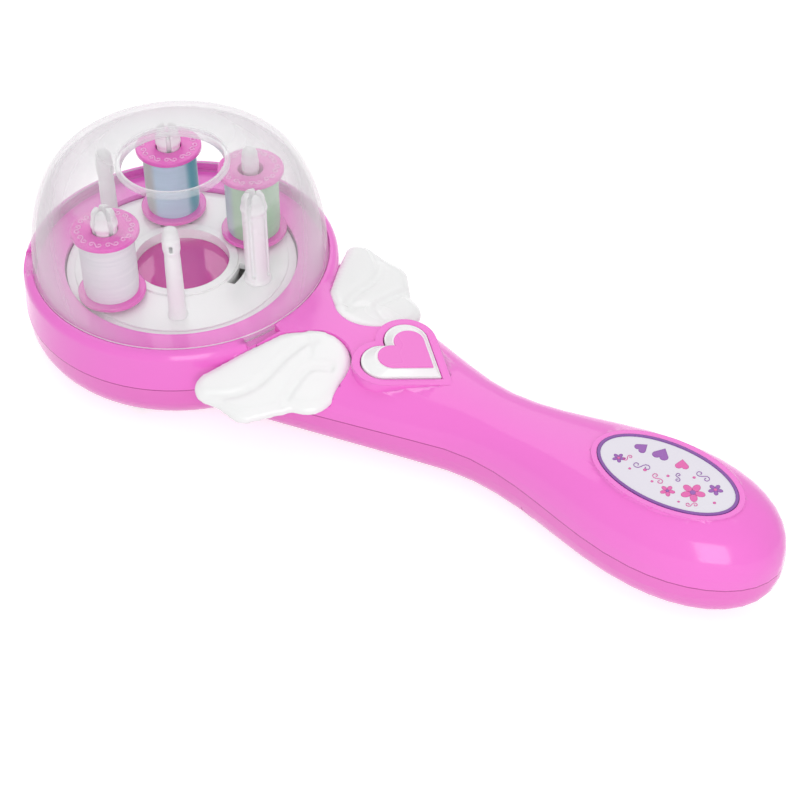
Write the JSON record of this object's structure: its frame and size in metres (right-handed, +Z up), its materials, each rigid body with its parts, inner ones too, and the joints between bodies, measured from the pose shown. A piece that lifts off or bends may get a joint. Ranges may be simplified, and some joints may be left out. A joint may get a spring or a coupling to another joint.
{
  "type": "automatic hair braider",
  "caption": "Hand-held hair braider: clear dome with a round mouth over a turning carrier of thread spools, and a handle with a heart-shaped push button and batteries.",
  "frame": {"origin": "on the resting plane, under the axis of the round head", "axes": "+Z up along the head's axis, +X along the handle, away from the head; XZ is the plane of near symmetry"},
  "size_m": [0.2884, 0.11, 0.0713],
  "materials": {
    "shell_pink": "glossy injection moulded, soft sheen",
    "shell_lower": "glossy injection moulded, slightly deeper pink",
    "dome_clear": "clear, polished",
    "white_plastic": "glossy white",
    "spool_pink": "glossy pink",
    "thread_white": "wound thread",
    "thread_blue": "wound thread",
    "thread_green": "wound thread",
    "floor_pink": "glossy deep pink",
    "heart_pink": "glossy pink",
    "badge_lilac": "glossy printed ground",
    "badge_purple": "glossy purple",
    "gear_white": "natural nylon",
    "steel": "bright steel",
    "brass": "turned brass",
    "motor_steel": "zinc plated can",
    "black_plastic": "moulded black",
    "board_brown": "paper laminate board",
    "plunger_pink": "moulded",
    "cell_blue": "printed sleeve on a steel can",
    "lead_red": "flexible insulation",
    "lead_black": "flexible insulation"
  },
  "bodies": {
    "housing": {"upper_shell": "shell_pink", "lower_shell": "shell_lower", "centre_cup": "floor_pink", "cup_screws": "steel", "gear_plate": "gear_white", "plate_screws": "steel", "idler_axle": "steel", "crown_axle": "steel", "motor_can": "motor_steel", "motor_end_cap": "black_plastic", "motor_strap": "steel", "button_spring": "steel", "switch_body": "black_plastic", "switch_board": "board_brown", "near_wing": "white_plastic", "far_wing": "white_plastic", "badge_plate": "badge_lilac", "badge_rim": "badge_purple", "battery_1": "cell_blue", "battery_2": "cell_blue", "battery_holder": "shell_lower", "contact_spring_1": "steel", "contact_spring_2": "steel", "contact_link": "steel", "contact_tabs": "steel", "shell_screws": "steel", "battery_lead": "lead_red", "switch_lead": "lead_red", "motor_lead": "lead_black"},
    "carrier": {"carrier_disc": "white_plastic", "drive_ring": "gear_white", "spool_post_1": "white_plastic", "spool_post_2": "white_plastic", "spool_post_3": "white_plastic", "guide_post_1": "white_plastic", "guide_post_2": "white_plastic", "guide_post_3": "white_plastic"},
    "spool_a": {"spool_1": "spool_pink", "thread_1": "thread_white"},
    "spool_b": {"spool_2": "spool_pink", "thread_2": "thread_blue"},
    "spool_c": {"spool_3": "spool_pink", "thread_3": "thread_green"},
    "idler": {"idler_gear": "gear_white"},
    "crown": {"crown_gear": "gear_white"},
    "rotor": {"motor_pinion": "brass", "motor_shaft": "steel"},
    "button": {"heart_button": "white_plastic", "heart_cap": "heart_pink"},
    "plunger": {"switch_plunger": "plunger_pink"},
    "dome": {"dome_cover": "dome_clear"},
    "door": {"battery_door": "shell_lower", "door_screw": "steel"}
  },
  "joints": [
    {"name": "carrier_spin", "type": "hinge", "parent": "housing", "child": "carrier", "pos_m": [0, 0, 0.0253], "axis": [0, 0, 1], "continuous": true},
    {"name": "spool_a_spin", "type": "hinge", "parent": "carrier", "child": "spool_a", "pos_m": [-0.00728, -0.02776, 0.0278], "axis": [0, 0, 1], "continuous": true},
    {"name": "spool_b_spin", "type": "hinge", "parent": "carrier", "child": "spool_b", "pos_m": [-0.0204, 0.02019, 0.0278], "axis": [0, 0, 1], "continuous": true},
    {"name": "spool_c_spin", "type": "hinge", "parent": "carrier", "child": "spool_c", "pos_m": [0.01108, 0.02648, 0.0278], "axis": [0, 0, 1], "continuous": true},
    {"name": "idler_spin", "type": "hinge", "parent": "housing", "child": "idler", "pos_m": [0.036, 0, 0.02], "axis": [0, 0, 1], "continuous": true},
    {"name": "crown_spin", "type": "hinge", "parent": "housing", "child": "crown", "pos_m": [0.0528, 0, 0.02], "axis": [0, 0, 1], "continuous": true},
    {"name": "motor_spin", "type": "hinge", "parent": "housing", "child": "rotor", "pos_m": [0.0618, 0, 0.0176], "axis": [1, 0, 0], "continuous": true},
    {"name": "button_press", "type": "slide", "parent": "housing", "child": "button", "axis": [0, 0, -1], "range_m": [0, 0.0015], "stiffness_N_per_m": 900, "springref_m": -0.001, "deforming": ["button_spring"]},
    {"name": "plunger_press", "type": "slide", "parent": "housing", "child": "plunger", "axis": [0, 0, -1], "range_m": [0, 0.0015]},
    {"name": "dome_lift", "type": "slide", "parent": "housing", "child": "dome", "axis": [0, 0, 1], "range_m": [0, 0.045]},
    {"name": "door_drop", "type": "slide", "parent": "housing", "child": "door", "axis": [0, 0, -1], "range_m": [0, 0.03]}
  ],
  "couplings": [
    {"joint": "idler_spin", "follows": "carrier_spin", "ratio": -6.5},
    {"joint": "crown_spin", "follows": "carrier_spin", "ratio": 19.5},
    {"joint": "motor_spin", "follows": "carrier_spin", "ratio": -70.2},
    {"joint": "plunger_press", "follows": "button_press", "ratio": 1}
  ]
}
